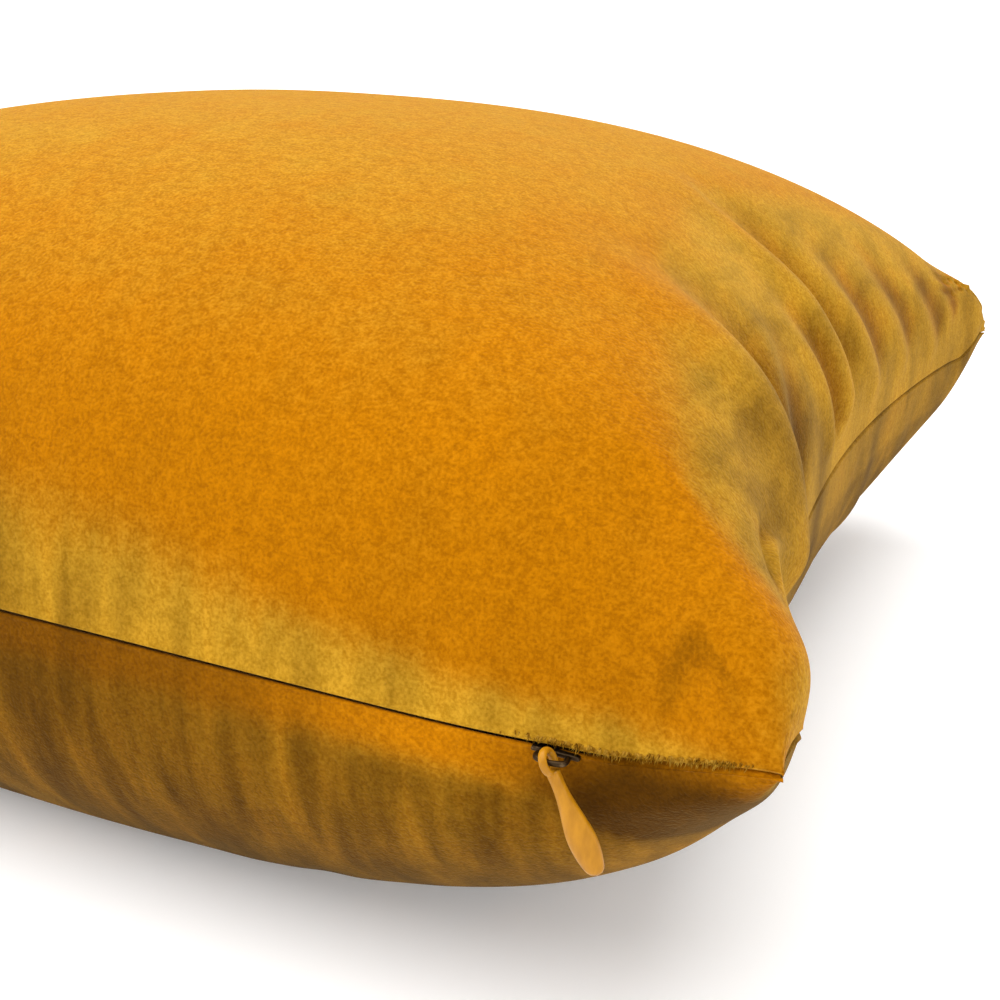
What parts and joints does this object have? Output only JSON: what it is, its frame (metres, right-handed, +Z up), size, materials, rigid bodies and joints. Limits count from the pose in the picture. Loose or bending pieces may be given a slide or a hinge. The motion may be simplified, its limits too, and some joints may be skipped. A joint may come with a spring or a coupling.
{
  "type": "throw pillow",
  "caption": "Square velvet throw pillow lying flat: plump cover with knife-edge seams, a concealed zip with a drop pull along one edge, and a filled insert.",
  "frame": {"origin": "on the surface the pillow lies on, under the middle of its outline", "axes": "+Z up through the front panel, -Y towards the zip edge, +X towards the zip's closed end"},
  "size_m": [0.4234, 0.4266, 0.183],
  "materials": {
    "velvet": "golden mustard cotton velvet with a short brushed pile",
    "thread": "spun polyester sewing thread",
    "zip_tape": "woven zip tape",
    "zip_coil": "satin polyester monofilament",
    "dark_metal": "dark brown enamel, satin",
    "golden_lacquer": "glossy golden tan enamel",
    "ticking": "plain white cotton, matte",
    "fibre": "white polyester fibre, matte"
  },
  "bodies": {
    "cushion": {"cover_front_panel": "velvet", "cover_back_panel": "velvet", "seam_thread_right": "thread", "seam_thread_left": "thread", "seam_thread_far": "thread", "end_seam_thread_right": "thread", "end_seam_thread_left": "thread", "zip_tape_front": "zip_tape", "zip_tape_back": "zip_tape", "zip_stitching_front": "thread", "zip_stitching_back": "thread", "zip_coil_front": "zip_coil", "zip_coil_back": "zip_coil", "zip_bottom_stop": "dark_metal", "zip_top_stop_front": "dark_metal", "zip_top_stop_back": "dark_metal", "insert_case_front": "ticking", "insert_case_back": "ticking", "insert_closing_thread": "thread", "insert_fill": "fibre"},
    "slider": {"zip_slider_body": "dark_metal", "zip_slider_bridge": "dark_metal"},
    "pull": {"zip_pull": "golden_lacquer"}
  },
  "joints": [
    {"name": "zip_slide", "type": "slide", "parent": "cushion", "child": "slider", "axis": [-1, 0, 0], "range_m": [0, 0.3368]},
    {"name": "pull_lift", "type": "hinge", "parent": "slider", "child": "pull", "pos_m": [0.1684, -0.212, 0.077], "axis": [-1, 0, 0], "range_deg": [-6, 180]}
  ]
}
